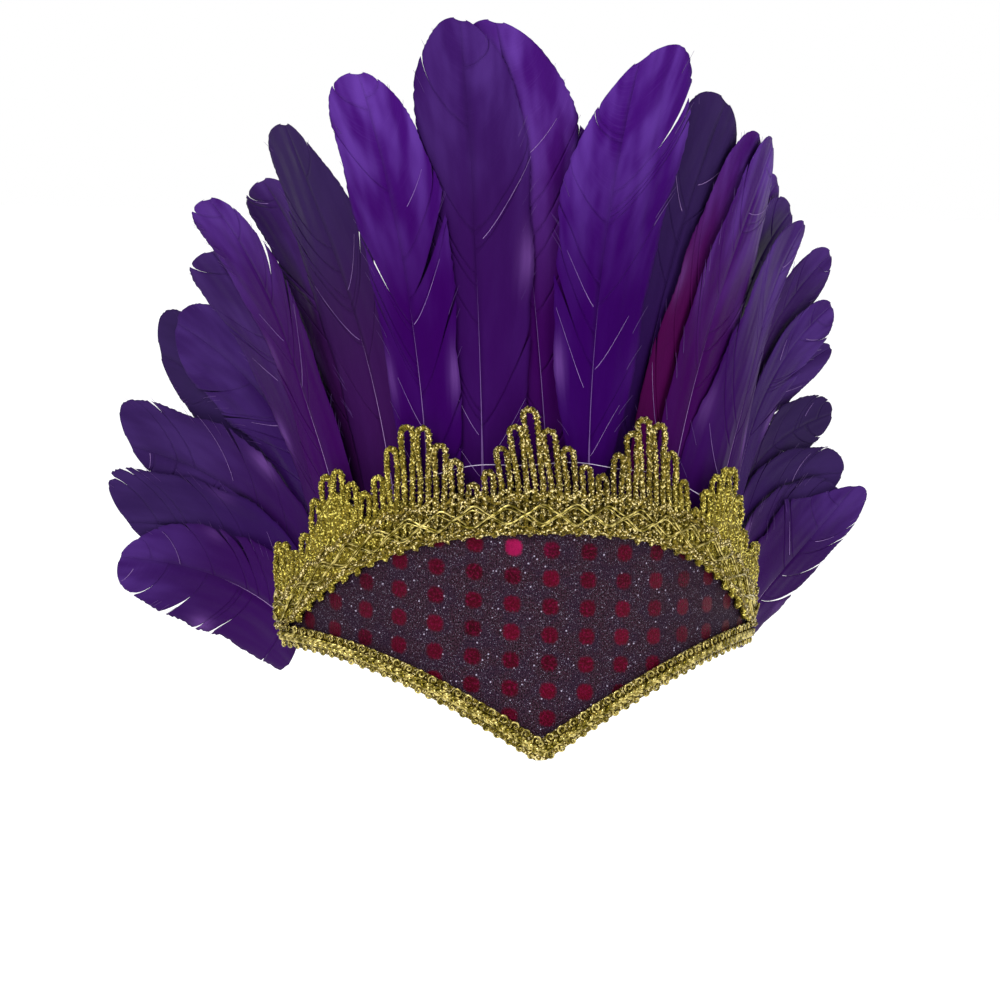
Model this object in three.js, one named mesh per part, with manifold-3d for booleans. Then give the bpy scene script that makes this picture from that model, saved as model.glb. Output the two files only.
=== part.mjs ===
// Feathered headdress. A stiff front panel, covered in dotted fabric, curves round the brow
// and comes to a point above the nose. Gold looped lace follows its arched top, gold braid
// follows its lower edge, and a fan of dyed goose feathers stands behind it. A felt strip
// covers the quills, and an elastic strap goes round the back of the head.
//
// Millimetres, +Z up, the wearer faces -Y. The origin is the middle of the head opening,
// level with the panel's lower corners.
//
// Most pieces are laid out flat and then bent: "along" runs round the brow from the middle,
// positive to +X, "height" is upwards, and "outward" is measured from the panel's outer face.

import * as THREE from "three";
import Module from "manifold-3d";
import { mergeVertices } from "three/addons/utils/BufferGeometryUtils.js";

const wasm = await Module();
wasm.setup();

// Front panel
const PANEL_RADIUS = 106; // outer face, seen from above
const PANEL_HALF_LENGTH = 121; // round the outer face, middle to corner
const PANEL_THICKNESS = 3;
const PANEL_RISE = 57; // bare fabric above the corners
const PANEL_DROP = 33; // brow point below the corners
const EDGE_BOW = 5.5; // how far the lower edge bows up between brow point and corner
const PANEL_HEM = 17; // fabric hidden behind the lace
const ARCH_POWER = 2.3; // how square the arched top is
const POINT_POWER = 2; // how sharply the lower edge comes to its point

// Pieces that touch keep this gap
const SEAT_GAP = 0.3;

// Gold lace
const LACE_THICKNESS = 1.8;
const LACE_GROUND = 19; // height of the closed band under the loops
const LOOP_PITCH = 6.2;
const LOOP_WIDTH = 5.5;
const LOOP_SLOT = 1.7;
const LACE_PEAK = 49; // tallest loop above the bare fabric
const LACE_OVERHANG = 3; // lace past the panel's corner

// Gold braid
const BRAID_WIDTH = 9.5;
const BRAID_THICKNESS = 3.4;

// Feathers
const FEATHER_LENGTH = 210;
const FEATHER_WIDTH = 46;
const VANE_THICKNESS = 1;
const SHAFT_THICKNESS = 1.7;
const SHAFT_WIDTH = 2.4;
const QUILL_INSET = 12; // quill ends below the arched top
const QUILL_END_INSET = 15; // outermost quill in from the panel's corner
const LAYER_GAP = 1.2; // clear depth between layers of feathers, out in the fan
const FAN_LEAN = 14; // how far forward the longest tips lean
const FLARE_RADIUS = 150; // past the corners the fan curves outwards again

// Felt strip over the quills
const FELT_WIDTH = 15;
const FELT_THICKNESS = 1.5;
const FELT_INSET = 1.5; // felt stops short of the panel's lower edge
const QUILL_MARGIN = 2; // felt runs on past the outermost quills

// Elastic strap
const STRAP_WIDTH = 14;
const STRAP_THICKNESS = 1.4;
const STRAP_RAISE = 12; // middle of the strap above the panel's corners
const STRAP_REACH = 80; // back of the strap behind the origin
const STRAP_TAB = 16; // strap sewn to the felt at each end

const QUILL_LIMIT = PANEL_HALF_LENGTH - QUILL_END_INSET;
const LAYER_PITCH = SHAFT_THICKNESS + LAYER_GAP;
const STEPS_ALONG = 36;

const colours = {
  fabric: new THREE.MeshStandardMaterial({ color: 0x2a1a36, roughness: 0.6, metalness: 0.1 }),
  gold: new THREE.MeshStandardMaterial({ color: 0xb59a2e, roughness: 0.35, metalness: 0.9 }),
  feather: new THREE.MeshStandardMaterial({ color: 0x3d1478, roughness: 0.55, metalness: 0 }),
  felt: new THREE.MeshStandardMaterial({ color: 0x22172e, roughness: 0.95, metalness: 0 }),
  elastic: new THREE.MeshStandardMaterial({ color: 0x17131c, roughness: 0.85, metalness: 0 }),
};

// Bends a flat place round the brow, and outwards again past the panel's corners.
function bend(along, height, outward) {
  const side = along < 0 ? -1 : 1;
  const onCurve = Math.min(Math.abs(along), PANEL_HALF_LENGTH);
  const past = Math.abs(along) - onCurve;
  const corner = onCurve / PANEL_RADIUS;
  const turn = corner - past / FLARE_RADIUS;
  const outwards = PANEL_RADIUS * Math.sin(corner) + FLARE_RADIUS * (Math.sin(corner) - Math.sin(turn));
  const forwards = PANEL_RADIUS * Math.cos(corner) + FLARE_RADIUS * (Math.cos(corner) - Math.cos(turn));
  return new THREE.Vector3(
    side * (outwards + outward * Math.sin(turn)),
    -forwards - outward * Math.cos(turn),
    height,
  );
}

function cornerShare(along) {
  return Math.min(1, Math.abs(along) / PANEL_HALF_LENGTH);
}

function archHeight(along) {
  return PANEL_RISE * (1 - cornerShare(along) ** ARCH_POWER);
}

function lowerEdge(along) {
  const share = cornerShare(along);
  return EDGE_BOW * Math.sin(Math.PI * share) - PANEL_DROP * (1 - share) ** POINT_POWER;
}

function quillHeight(along) {
  return archHeight(along) - QUILL_INSET;
}

// Joins a row of rings, each with the same number of points, into one closed solid.
function loft(rings) {
  const count = rings[0].length;
  const index = [];
  for (let ring = 0; ring < rings.length - 1; ring++) {
    for (let point = 0; point < count; point++) {
      const here = ring * count + point;
      const next = ring * count + ((point + 1) % count);
      index.push(here, next + count, next, here, here + count, next + count);
    }
  }
  const last = (rings.length - 1) * count;
  for (let point = 1; point < count - 1; point++) {
    index.push(0, point, point + 1, last, last + point + 1, last + point);
  }
  const geometry = new THREE.BufferGeometry().setFromPoints(rings.flat());
  geometry.setIndex(index);
  return geometry;
}

function toSolid(geometry) {
  const bare = geometry.clone();
  bare.deleteAttribute("normal");
  bare.deleteAttribute("uv");
  const merged = mergeVertices(bare, 1e-4);
  return new wasm.Manifold(
    new wasm.Mesh({
      numProp: 3,
      vertProperties: merged.attributes.position.array,
      triVerts: new Uint32Array(merged.index.array),
    }),
  );
}

function toGeometry(solid) {
  const mesh = solid.getMesh();
  const geometry = new THREE.BufferGeometry();
  geometry.setAttribute("position", new THREE.BufferAttribute(mesh.vertProperties, 3));
  geometry.setIndex(new THREE.BufferAttribute(mesh.triVerts, 1));
  return geometry;
}

// A bent sheet between a lower and an upper edge, from one place along the brow to another.
function bentSheet(from, to, lower, upper, outerFace, thickness, steps = STEPS_ALONG) {
  const rings = [];
  for (let step = 0; step <= steps; step++) {
    const along = from + ((to - from) * step) / steps;
    rings.push([
      bend(along, lower(along), outerFace),
      bend(along, upper(along), outerFace),
      bend(along, upper(along), outerFace - thickness),
      bend(along, lower(along), outerFace - thickness),
    ]);
  }
  return loft(rings);
}

function frontPanel() {
  return bentSheet(
    -PANEL_HALF_LENGTH,
    PANEL_HALF_LENGTH,
    lowerEdge,
    (along) => archHeight(along) + PANEL_HEM,
    0,
    PANEL_THICKNESS,
  );
}

// The lace's peaks, left to right: where each is, as a share of the panel's half length, and
// its top as a share of the tallest. The lace is sewn on a little off centre.
const LACE_PEAKS = [
  { at: -1.03, top: 0.93 },
  { at: -0.76, top: 1 },
  { at: -0.46, top: 1 },
  { at: -0.07, top: 1 },
  { at: 0.36, top: 1 },
  { at: 0.74, top: 1 },
  { at: 1.03, top: 0.93 },
];
const LACE_REACH = 0.2; // from a peak to the foot of its slope, as a share of the half length
const LACE_VALLEY = 0.5; // the lowest loops, as a share of the tallest

function laceTop(along) {
  const share = along / PANEL_HALF_LENGTH;
  let top = LACE_VALLEY;
  for (const peak of LACE_PEAKS) {
    const fall = Math.abs(share - peak.at) / LACE_REACH;
    top = Math.max(top, peak.top - (peak.top - LACE_VALLEY) * fall);
  }
  return archHeight(along) + LACE_PEAK * top;
}

// The lace's lower edge follows the arch and stops above the braid.
function laceFoot(along) {
  return Math.max(archHeight(along), lowerEdge(along) + BRAID_WIDTH + SEAT_GAP);
}

// One loop of cord, standing up from the closed band, with its slot cut through.
function laceLoop(along) {
  const half = LOOP_WIDTH / 2;
  const slot = LOOP_SLOT / 2;
  const foot = archHeight(along) + LACE_GROUND * 0.5;
  const top = laceTop(along);
  const outline = new THREE.Shape();
  outline.moveTo(-half, foot);
  outline.lineTo(half, foot);
  outline.absarc(0, top - half, half, 0, Math.PI, false);
  outline.closePath();
  const hole = new THREE.Path();
  const slotFoot = archHeight(along) + LACE_GROUND;
  hole.moveTo(-slot, slotFoot);
  hole.absarc(0, top - half, slot, Math.PI, 0, true);
  hole.lineTo(slot, slotFoot);
  hole.closePath();
  if (top - half > slotFoot + slot) outline.holes.push(hole);
  const loop = new THREE.ExtrudeGeometry(outline, {
    depth: LACE_THICKNESS,
    bevelEnabled: false,
    curveSegments: 5,
  });
  const seat = bend(along, 0, SEAT_GAP);
  const onCurve = THREE.MathUtils.clamp(along, -PANEL_HALF_LENGTH, PANEL_HALF_LENGTH);
  loop.rotateX(Math.PI / 2);
  loop.rotateZ(onCurve / PANEL_RADIUS);
  loop.translate(seat.x, seat.y, 0);
  return toSolid(loop);
}

function crownLace() {
  const end = PANEL_HALF_LENGTH + LACE_OVERHANG;
  const band = bentSheet(
    -end,
    end,
    laceFoot,
    (along) => archHeight(along) + LACE_GROUND,
    SEAT_GAP + LACE_THICKNESS,
    LACE_THICKNESS,
  );
  let lace = toSolid(band);
  const perSide = Math.floor((end - LOOP_WIDTH / 2) / LOOP_PITCH);
  for (let loop = -perSide; loop <= perSide; loop++) {
    lace = lace.add(laceLoop(loop * LOOP_PITCH));
  }
  return toGeometry(lace);
}

function edgeBraid() {
  const rings = [];
  const steps = STEPS_ALONG;
  const half = BRAID_WIDTH / 2;
  const back = SEAT_GAP;
  const front = SEAT_GAP + BRAID_THICKNESS;
  const shoulder = SEAT_GAP + BRAID_THICKNESS * 0.6;
  for (let step = 0; step <= steps; step++) {
    const along = PANEL_HALF_LENGTH * ((2 * step) / steps - 1);
    const middle = lowerEdge(along) + half;
    rings.push([
      bend(along, middle - half, back),
      bend(along, middle - half, shoulder),
      bend(along, middle - half * 0.5, front),
      bend(along, middle + half * 0.5, front),
      bend(along, middle + half, shoulder),
      bend(along, middle + half, back),
    ]);
  }
  return loft(rings);
}

const LAYERS_START = FELT_WIDTH / 2 + 1; // away from the quill ends, where the layers part
const LAYERS_APART = LAYERS_START + 24; // where they are a full pitch apart

// How far behind the panel a place on a layer of the fan lies. The layers start together at the
// quill ends and part on the way out, and above the panel the whole fan leans forward.
function layerDepth(along, height, layer) {
  const inside = Math.min(Math.abs(along), QUILL_LIMIT);
  const rise = Math.max(0, height - quillHeight(inside));
  const away = Math.hypot(Math.abs(along) - inside, rise);
  const parted = THREE.MathUtils.smoothstep(away, LAYERS_START, LAYERS_APART);
  const free = Math.max(0, rise - QUILL_INSET - PANEL_HEM);
  return layer * LAYER_PITCH * parted - FAN_LEAN * (free / FEATHER_LENGTH) ** 2;
}

// Half the vane's width, as a share of the feather's, at places along the feather.
const VANE_PROFILE = [
  { at: 0, half: 0 },
  { at: 0.05, half: 0 },
  { at: 0.1, half: 0.02 },
  { at: 0.15, half: 0.13 },
  { at: 0.22, half: 0.27 },
  { at: 0.34, half: 0.38 },
  { at: 0.5, half: 0.46 },
  { at: 0.68, half: 0.5 },
  { at: 0.82, half: 0.47 },
  { at: 0.91, half: 0.38 },
  { at: 0.965, half: 0.26 },
  { at: 1, half: 0.08 },
];

function vaneHalf(at) {
  const next = VANE_PROFILE.findIndex((row) => row.at >= at);
  if (next <= 0) return VANE_PROFILE[Math.max(0, next)].half;
  const low = VANE_PROFILE[next - 1];
  const high = VANE_PROFILE[next];
  return low.half + ((high.half - low.half) * (at - low.at)) / (high.at - low.at);
}

// The feathers, left to right. seat: the quill's place as a share of the quill row. root and
// tip: the shaft's lean at each end, in degrees, outwards to +X. length and width: shares of
// the named sizes. left: the share of the vane to the left of the shaft. slant: how far the
// left edge's end runs past the right edge's, as a share of the width. taper: how much wider
// the vane is near the quill than near the tip. layer: 0 in front.
const FEATHERS = [
  { seat: -1.0, root: -74, tip: -98, length: 0.56, width: 1.15, left: 0.63, slant: 0.4, taper: 0.9, layer: 0 },
  { seat: -0.955, root: -52, tip: -90, length: 0.62, width: 1.0, left: 0.5, slant: -0.5, taper: 0, layer: 1 },
  { seat: -0.92, root: -45, tip: -72, length: 0.69, width: 1.05, left: 0.5, slant: -0.5, taper: 0.2, layer: 2 },
  { seat: -0.88, root: -32, tip: -64, length: 0.73, width: 0.95, left: 0.5, slant: -0.4, taper: 0, layer: 4 },
  { seat: -0.84, root: -25, tip: -66, length: 0.74, width: 0.95, left: 0.5, slant: -0.2, taper: 0, layer: 3 },
  { seat: -0.79, root: -20, tip: -52, length: 0.79, width: 0.9, left: 0.5, slant: 0.4, taper: 0, layer: 1 },
  { seat: -0.74, root: -14, tip: -52, length: 0.87, width: 0.8, left: 0.5, slant: 0.2, taper: 0, layer: 0 },
  { seat: -0.69, root: -12, tip: -40, length: 0.74, width: 0.9, left: 0.5, slant: 0, taper: 0, layer: 4 },
  { seat: -0.64, root: -8, tip: -46, length: 0.85, width: 0.9, left: 0.5, slant: 0.5, taper: 0, layer: 3 },
  { seat: -0.58, root: -5, tip: -34, length: 0.9, width: 1.0, left: 0.55, slant: 0.5, taper: 0, layer: 2 },
  { seat: -0.43, root: -2, tip: -17, length: 0.93, width: 1.05, left: 0.6, slant: 0.1, taper: -0.2, layer: 0 },
  { seat: -0.37, root: -1, tip: -5, length: 0.83, width: 0.95, left: 0.5, slant: 0, taper: 0, layer: 3 },
  { seat: -0.23, root: -2, tip: -5, length: 0.99, width: 1.05, left: 0.45, slant: 0.3, taper: 0, layer: 1 },
  { seat: -0.09, root: -2, tip: -4, length: 0.85, width: 0.9, left: 0.5, slant: 0, taper: 0, layer: 4 },
  { seat: 0.04, root: -4, tip: -12, length: 0.99, width: 1.1, left: 0.45, slant: 0.4, taper: 0, layer: 2 },
  { seat: 0.12, root: -2, tip: -6, length: 0.82, width: 0.9, left: 0.5, slant: 0, taper: 0, layer: 3 },
  { seat: 0.18, root: -4, tip: 14, length: 0.96, width: 1.1, left: 0.52, slant: -0.9, taper: -0.3, layer: 0 },
  { seat: 0.29, root: 0, tip: 12, length: 0.74, width: 0.8, left: 0.5, slant: 0, taper: 0, layer: 4 },
  { seat: 0.37, root: 2, tip: 26, length: 0.9, width: 0.85, left: 0.5, slant: 0.2, taper: 0, layer: 3 },
  { seat: 0.45, root: 4, tip: 37, length: 0.89, width: 0.85, left: 0.5, slant: 0.3, taper: 0, layer: 2 },
  { seat: 0.52, root: 6, tip: 40, length: 0.9, width: 0.8, left: 0.5, slant: 0.2, taper: 0, layer: 1 },
  { seat: 0.6, root: 7, tip: 60, length: 0.9, width: 0.8, left: 0.5, slant: 0, taper: 0, layer: 4 },
  { seat: 0.67, root: 9, tip: 64, length: 0.87, width: 0.85, left: 0.5, slant: 0, taper: 0, layer: 3 },
  { seat: 0.73, root: 12, tip: 51, length: 0.83, width: 0.8, left: 0.5, slant: -0.2, taper: 0, layer: 0 },
  { seat: 0.79, root: 23, tip: 59, length: 0.86, width: 0.6, left: 0.5, slant: 0, taper: 0, layer: 2 },
  { seat: 0.84, root: 25, tip: 63, length: 0.78, width: 0.75, left: 0.5, slant: -0.2, taper: 0, layer: 1 },
  { seat: 0.885, root: 30, tip: 70, length: 0.75, width: 0.75, left: 0.5, slant: -0.2, taper: 0, layer: 4 },
  { seat: 0.915, root: 32, tip: 82, length: 0.67, width: 0.85, left: 0.5, slant: 0.2, taper: 0, layer: 3 },
  { seat: 0.942, root: 39, tip: 95, length: 0.63, width: 0.85, left: 0.5, slant: 0.3, taper: 0, layer: 2 },
  { seat: 0.97, root: 53, tip: 93, length: 0.57, width: 0.95, left: 0.5, slant: 0.3, taper: 0, layer: 1 },
  { seat: 1.0, root: 90, tip: 48, length: 0.6, width: 1.1, left: 0.6, slant: -0.7, taper: 0.8, layer: 0 },
];

// Walks up a feather's shaft and gives its place and lean at each row of the profile.
function shaftStations(feather) {
  const length = feather.length * FEATHER_LENGTH;
  const start = feather.seat * QUILL_LIMIT;
  let along = start;
  let height = quillHeight(start);
  let done = 0;
  return VANE_PROFILE.map(({ at }) => {
    const steps = 8;
    for (let step = 0; step < steps && at > done; step++) {
      const middle = done + ((at - done) * (step + 0.5)) / steps;
      const lean = THREE.MathUtils.degToRad(feather.root + (feather.tip - feather.root) * middle);
      along += (Math.sin(lean) * (at - done) * length) / steps;
      height += (Math.cos(lean) * (at - done) * length) / steps;
    }
    done = at;
    const lean = THREE.MathUtils.degToRad(feather.root + (feather.tip - feather.root) * at);
    return { at, along, height, lean };
  });
}

function featherBlade(feather) {
  const seatFace = -PANEL_THICKNESS - SEAT_GAP - SHAFT_THICKNESS / 2;
  const rings = shaftStations(feather).map(({ at, along, height, lean }) => {
    const half = vaneHalf(at) * FEATHER_WIDTH * feather.width * (1 + feather.taper * (0.5 - at));
    const shaftHalf = (SHAFT_WIDTH / 2) * (1 - 0.7 * at);
    const shaft = VANE_THICKNESS + (SHAFT_THICKNESS - VANE_THICKNESS) * (1 - at);
    const left = -Math.max(shaftHalf, 2 * half * feather.left);
    const right = Math.max(shaftHalf, 2 * half * (1 - feather.left));
    const place = (across, depth) => {
      const ahead = -feather.slant * across * at ** 4;
      const a = along + across * Math.cos(lean) + ahead * Math.sin(lean);
      const h = height - across * Math.sin(lean) + ahead * Math.cos(lean);
      return bend(a, h, seatFace - layerDepth(a, h, feather.layer) + depth);
    };
    return [
      place(right, -VANE_THICKNESS / 2),
      place(right, VANE_THICKNESS / 2),
      place(shaftHalf * 0.9, shaft / 2),
      place(-shaftHalf * 0.9, shaft / 2),
      place(left, VANE_THICKNESS / 2),
      place(left, -VANE_THICKNESS / 2),
      place(0, -shaft / 2),
    ];
  });
  return loft(rings);
}

function quillFelt() {
  const outer = -PANEL_THICKNESS - 2 * SEAT_GAP - SHAFT_THICKNESS;
  const end = QUILL_LIMIT + QUILL_MARGIN;
  return bentSheet(
    -end,
    end,
    (along) => Math.max(quillHeight(along) - FELT_WIDTH / 2, lowerEdge(along) + FELT_INSET),
    (along) => quillHeight(along) + FELT_WIDTH / 2,
    outer,
    FELT_THICKNESS,
  );
}

// The strap starts flat on the felt at one corner, goes round the head and ends at the other.
function backStrap() {
  const face = -PANEL_THICKNESS - 3 * SEAT_GAP - SHAFT_THICKNESS - FELT_THICKNESS;
  const end = QUILL_LIMIT - QUILL_MARGIN;
  const start = bend(end, 0, face - STRAP_THICKNESS / 2);
  const tab = bend(end - STRAP_TAB, 0, face - STRAP_THICKNESS / 2);
  const points = [tab, start];
  const turns = 14;
  for (let turn = 1; turn < turns; turn++) {
    const angle = (Math.PI * turn) / turns;
    points.push(
      new THREE.Vector3(
        start.x * Math.cos(angle),
        start.y + (STRAP_REACH - start.y) * Math.sin(angle),
        0,
      ),
    );
  }
  points.push(
    new THREE.Vector3(-start.x, start.y, 0),
    new THREE.Vector3(-tab.x, tab.y, 0),
  );
  const low = STRAP_RAISE - STRAP_WIDTH / 2;
  const rings = points.map((point, i) => {
    const before = points[Math.max(0, i - 1)];
    const after = points[Math.min(points.length - 1, i + 1)];
    const run = after.clone().sub(before).normalize();
    const out = new THREE.Vector3(run.y, -run.x, 0).multiplyScalar(STRAP_THICKNESS / 2);
    const lift = new THREE.Vector3(0, 0, STRAP_WIDTH);
    const outer = point.clone().add(out).setZ(low);
    const inner = point.clone().sub(out).setZ(low);
    return [outer, outer.clone().add(lift), inner.clone().add(lift), inner];
  });
  return loft(rings);
}

function addPiece(group, name, geometry, material) {
  const mesh = new THREE.Mesh(geometry, material);
  mesh.name = name;
  group.add(mesh);
}

const headdress = new THREE.Group();
addPiece(headdress, "front_panel", frontPanel(), colours.fabric);
addPiece(headdress, "crown_lace", crownLace(), colours.gold);
addPiece(headdress, "edge_braid", edgeBraid(), colours.gold);
FEATHERS.forEach((feather, i) => {
  const name = `feather_${String(i + 1).padStart(2, "0")}`;
  addPiece(headdress, name, featherBlade(feather), colours.feather);
});
addPiece(headdress, "quill_felt", quillFelt(), colours.felt);
addPiece(headdress, "back_strap", backStrap(), colours.elastic);

export default headdress;
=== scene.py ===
import math

import bpy
import bmesh
import numpy as np
from mathutils import Matrix, Vector


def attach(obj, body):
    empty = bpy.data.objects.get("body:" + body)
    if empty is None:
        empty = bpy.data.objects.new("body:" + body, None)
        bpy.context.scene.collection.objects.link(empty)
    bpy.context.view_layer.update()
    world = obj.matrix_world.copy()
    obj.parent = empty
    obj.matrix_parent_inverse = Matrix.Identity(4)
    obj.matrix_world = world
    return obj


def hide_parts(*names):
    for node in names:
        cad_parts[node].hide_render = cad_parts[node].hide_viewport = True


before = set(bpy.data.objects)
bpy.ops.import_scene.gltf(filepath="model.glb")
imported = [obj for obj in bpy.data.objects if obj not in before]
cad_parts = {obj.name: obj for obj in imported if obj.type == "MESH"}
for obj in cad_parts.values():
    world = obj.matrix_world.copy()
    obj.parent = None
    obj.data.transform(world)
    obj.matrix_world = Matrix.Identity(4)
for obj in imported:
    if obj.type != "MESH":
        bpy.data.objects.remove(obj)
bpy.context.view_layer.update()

# Feathered headdress: a stiff front panel in dotted fabric, looped gold lace and gold braid
# on its edges, and a fan of dyed goose feathers behind it. Lengths are in millimetres until
# a piece is made, +Z is up, and the wearer faces -Y.
MM = 0.001


# Camera
# The headdress is seen at its own height, a little from its right and from above, in the
# upright square frame of a product picture.
CAMERA_TURN, CAMERA_RISE, CAMERA_ROLL = (math.radians(angle) for angle in (-8.5, 10, 1.5))
CAMERA_DISTANCE = 1100
CAMERA_AIM = Vector((-2.5, 0, 52))
CAMERA_LENS = 93.67
CAMERA_SENSOR = 36

towards_camera = Vector((
    math.sin(CAMERA_TURN) * math.cos(CAMERA_RISE),
    -math.cos(CAMERA_TURN) * math.cos(CAMERA_RISE),
    math.sin(CAMERA_RISE),
))
camera_data = bpy.data.cameras.new("camera")
camera_data.lens = CAMERA_LENS
camera_data.sensor_width = CAMERA_SENSOR
camera = bpy.data.objects.new("camera", camera_data)
camera.matrix_world = (
    Matrix.Translation((CAMERA_AIM + towards_camera * CAMERA_DISTANCE) * MM)
    @ towards_camera.to_track_quat("Z", "Y").to_matrix().to_4x4()
    @ Matrix.Rotation(CAMERA_ROLL, 4, "Z")
)
bpy.context.scene.collection.objects.link(camera)
bpy.context.scene.camera = camera


# Front panel
# A stiff board cut with an arched top and a brow point, bent round the forehead. Glitter
# knit with crimson foil dots is pulled tight over it and turned in at its edges.
PANEL_RADIUS = 106
PANEL_HALF_LENGTH = 121
PANEL_THICKNESS = 3
PANEL_RISE = 57
PANEL_DROP = 33
EDGE_BOW = 5.5
PANEL_HEM = 17  # how far the board goes up behind the lace
ARCH_POWER = 2.3
POINT_POWER = 2
PANEL_EDGE_ROUND = 1.2
FLARE_RADIUS = 150
DOT_COLUMN, DOT_ROW = 14.9, 11.1  # from one dot to the next
DOT_SIZE = 7.0
DOT_POWER = 2.5  # 2 is round, and more is squarer
DOT_START = (0.34, 0.86)  # the first dot's place in the grid, in columns and rows
DOT_SLOPE = 0.07  # the rows rise this much towards -X, where the cloth was pulled
BRIGHT_DOT = (-8, -4)  # where the painted highlight on the foil is brightest, from the arch's top
BRIGHT_REACH = (11, 7)  # how far that goes along the arch and down from it
CLOTH_SLACK = 0.25  # how far the cloth stands off the board or sinks into it
SLACK_FROM_EDGE = 12
GRAIN_SCALE, SPECK_SCALE, SPARK_SCALE = 23, 46, 9  # to a centimetre
KNIT_BUMP = 0.00018  # in metres
PLY_DEPTH = 0.2  # of a twisted cord's radius


def bend(along, height, outward):
    """Places laid out flat, bent round the brow and outwards again past the corners."""
    side = np.where(along < 0, -1.0, 1.0)
    on_curve = np.minimum(np.abs(along), PANEL_HALF_LENGTH)
    corner = on_curve / PANEL_RADIUS
    turn = corner - (np.abs(along) - on_curve) / FLARE_RADIUS
    sideways = PANEL_RADIUS * np.sin(corner) + FLARE_RADIUS * (np.sin(corner) - np.sin(turn))
    forwards = PANEL_RADIUS * np.cos(corner) + FLARE_RADIUS * (np.cos(corner) - np.cos(turn))
    across = side * (sideways + outward * np.sin(turn))
    ahead = -forwards - outward * np.cos(turn)
    return np.stack(np.broadcast_arrays(across, ahead, height), -1)


def corner_share(along):
    return np.minimum(1, np.abs(along) / PANEL_HALF_LENGTH)


def arch_height(along):
    return PANEL_RISE * (1 - corner_share(along) ** ARCH_POWER)


def lower_edge(along):
    share = corner_share(along)
    return EDGE_BOW * np.sin(np.pi * share) - PANEL_DROP * (1 - share) ** POINT_POWER


def smooth_step(value, low, high):
    share = np.clip((value - low) / (high - low), 0, 1)
    return share * share * (3 - 2 * share)


class Shape:
    """Gathers closed parts, each given as points and faces, into one mesh.

    A part's kind is the place of its finish in the piece's list, and its marks are values
    at its points that the finish reads.
    """

    def __init__(self):
        self.points, self.faces, self.kinds, self.marks = [], [], [], {}
        self.count = 0

    def add(self, points, faces, kind=0, **marks):
        points = points.reshape(-1, 3)
        self.points.append(points)
        self.faces += [[corner + self.count for corner in face] for face in faces]
        self.kinds += [kind] * len(faces)
        for name, values in marks.items():
            self.marks.setdefault(name, []).append((self.count, values))
        self.count += len(points)

    def sheet(self, front, back, **marks):
        """A closed sheet between two grids of points, one over the other."""
        rows, columns = front.shape[:2]
        place = np.arange(rows * columns).reshape(rows, columns)
        corners = (place[:-1, :-1], place[1:, :-1], place[1:, 1:], place[:-1, 1:])
        face = np.stack(corners, -1).reshape(-1, 4)
        rim = np.concatenate([place[0, :-1], place[:-1, -1], place[-1, :0:-1], place[:0:-1, 0]])
        beside = np.roll(rim, -1)
        under = rows * columns
        edge = np.stack([rim, beside, beside + under, rim + under], -1)
        faces = np.concatenate([face, face[:, ::-1] + under, edge])
        both = {name: np.concatenate([v.reshape(rows * columns, -1)] * 2) for name, v in marks.items()}
        points = np.concatenate([front.reshape(-1, 3), back.reshape(-1, 3)])
        self.add(points, faces.tolist(), **both)

    def tube(self, line, outward, radius, sides=6, flat=1.0, lobes=0, pitch=1.0, kind=0, **marks):
        """A cord along a line of points, with two or more plies twisted if it has lobes."""
        ahead = np.gradient(line, axis=0)
        ahead /= np.linalg.norm(ahead, axis=1)[:, None]
        beside = np.cross(ahead, outward)
        beside /= np.linalg.norm(beside, axis=1)[:, None]
        out = np.cross(beside, ahead)
        run = np.concatenate([[0], np.cumsum(np.linalg.norm(np.diff(line, axis=0), axis=1))])
        angle = np.linspace(0, 2 * np.pi, sides, endpoint=False)[None, :]
        reach = np.broadcast_to(radius, len(line))[:, None] * np.ones_like(angle)
        if lobes:
            reach = reach * (1 + PLY_DEPTH * np.cos(lobes * angle - 2 * np.pi * run[:, None] / pitch))
        rings = (
            line[:, None, :]
            + beside[:, None, :] * (reach * np.cos(angle))[:, :, None]
            + out[:, None, :] * (reach * np.sin(angle) * flat)[:, :, None]
        )
        place = np.arange(len(line) * sides).reshape(len(line), sides)
        beside_it = np.roll(place, -1, axis=1)
        corners = (place[:-1], beside_it[:-1], beside_it[1:], place[1:])
        faces = np.stack(corners, -1).reshape(-1, 4).tolist()
        faces += [place[0, ::-1].tolist(), place[-1].tolist()]
        all_round = {
            name: np.repeat(np.asarray(v).reshape(len(line), -1), sides, axis=0)
            for name, v in marks.items()
        }
        self.add(rings, faces, kind, **all_round)

    def piece(self, name, finishes):
        """The mesh piece itself, in metres, with its marks kept for the finish to read."""
        mesh = bpy.data.meshes.new(name)
        mesh.from_pydata((np.concatenate(self.points) * MM).tolist(), [], self.faces)
        for finish in finishes:
            mesh.materials.append(finish)
        mesh.polygons.foreach_set("material_index", self.kinds)
        mesh.polygons.foreach_set("use_smooth", [True] * len(self.faces))
        for mark, parts in self.marks.items():
            width = parts[0][1].shape[-1]
            kind = "FLOAT_VECTOR" if width == 3 else "FLOAT"
            values = np.zeros((self.count, width))
            for start, part in parts:
                values[start:start + len(part)] = part
            stored = mesh.attributes.new(mark, kind, "POINT")
            stored.data.foreach_set("vector" if width == 3 else "value", values.ravel())
        worked = bmesh.new()
        worked.from_mesh(mesh)
        bmesh.ops.recalc_face_normals(worked, faces=worked.faces)
        worked.to_mesh(mesh)
        worked.free()
        made = bpy.data.objects.new(name, mesh)
        bpy.context.scene.collection.objects.link(made)
        return made


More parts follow.
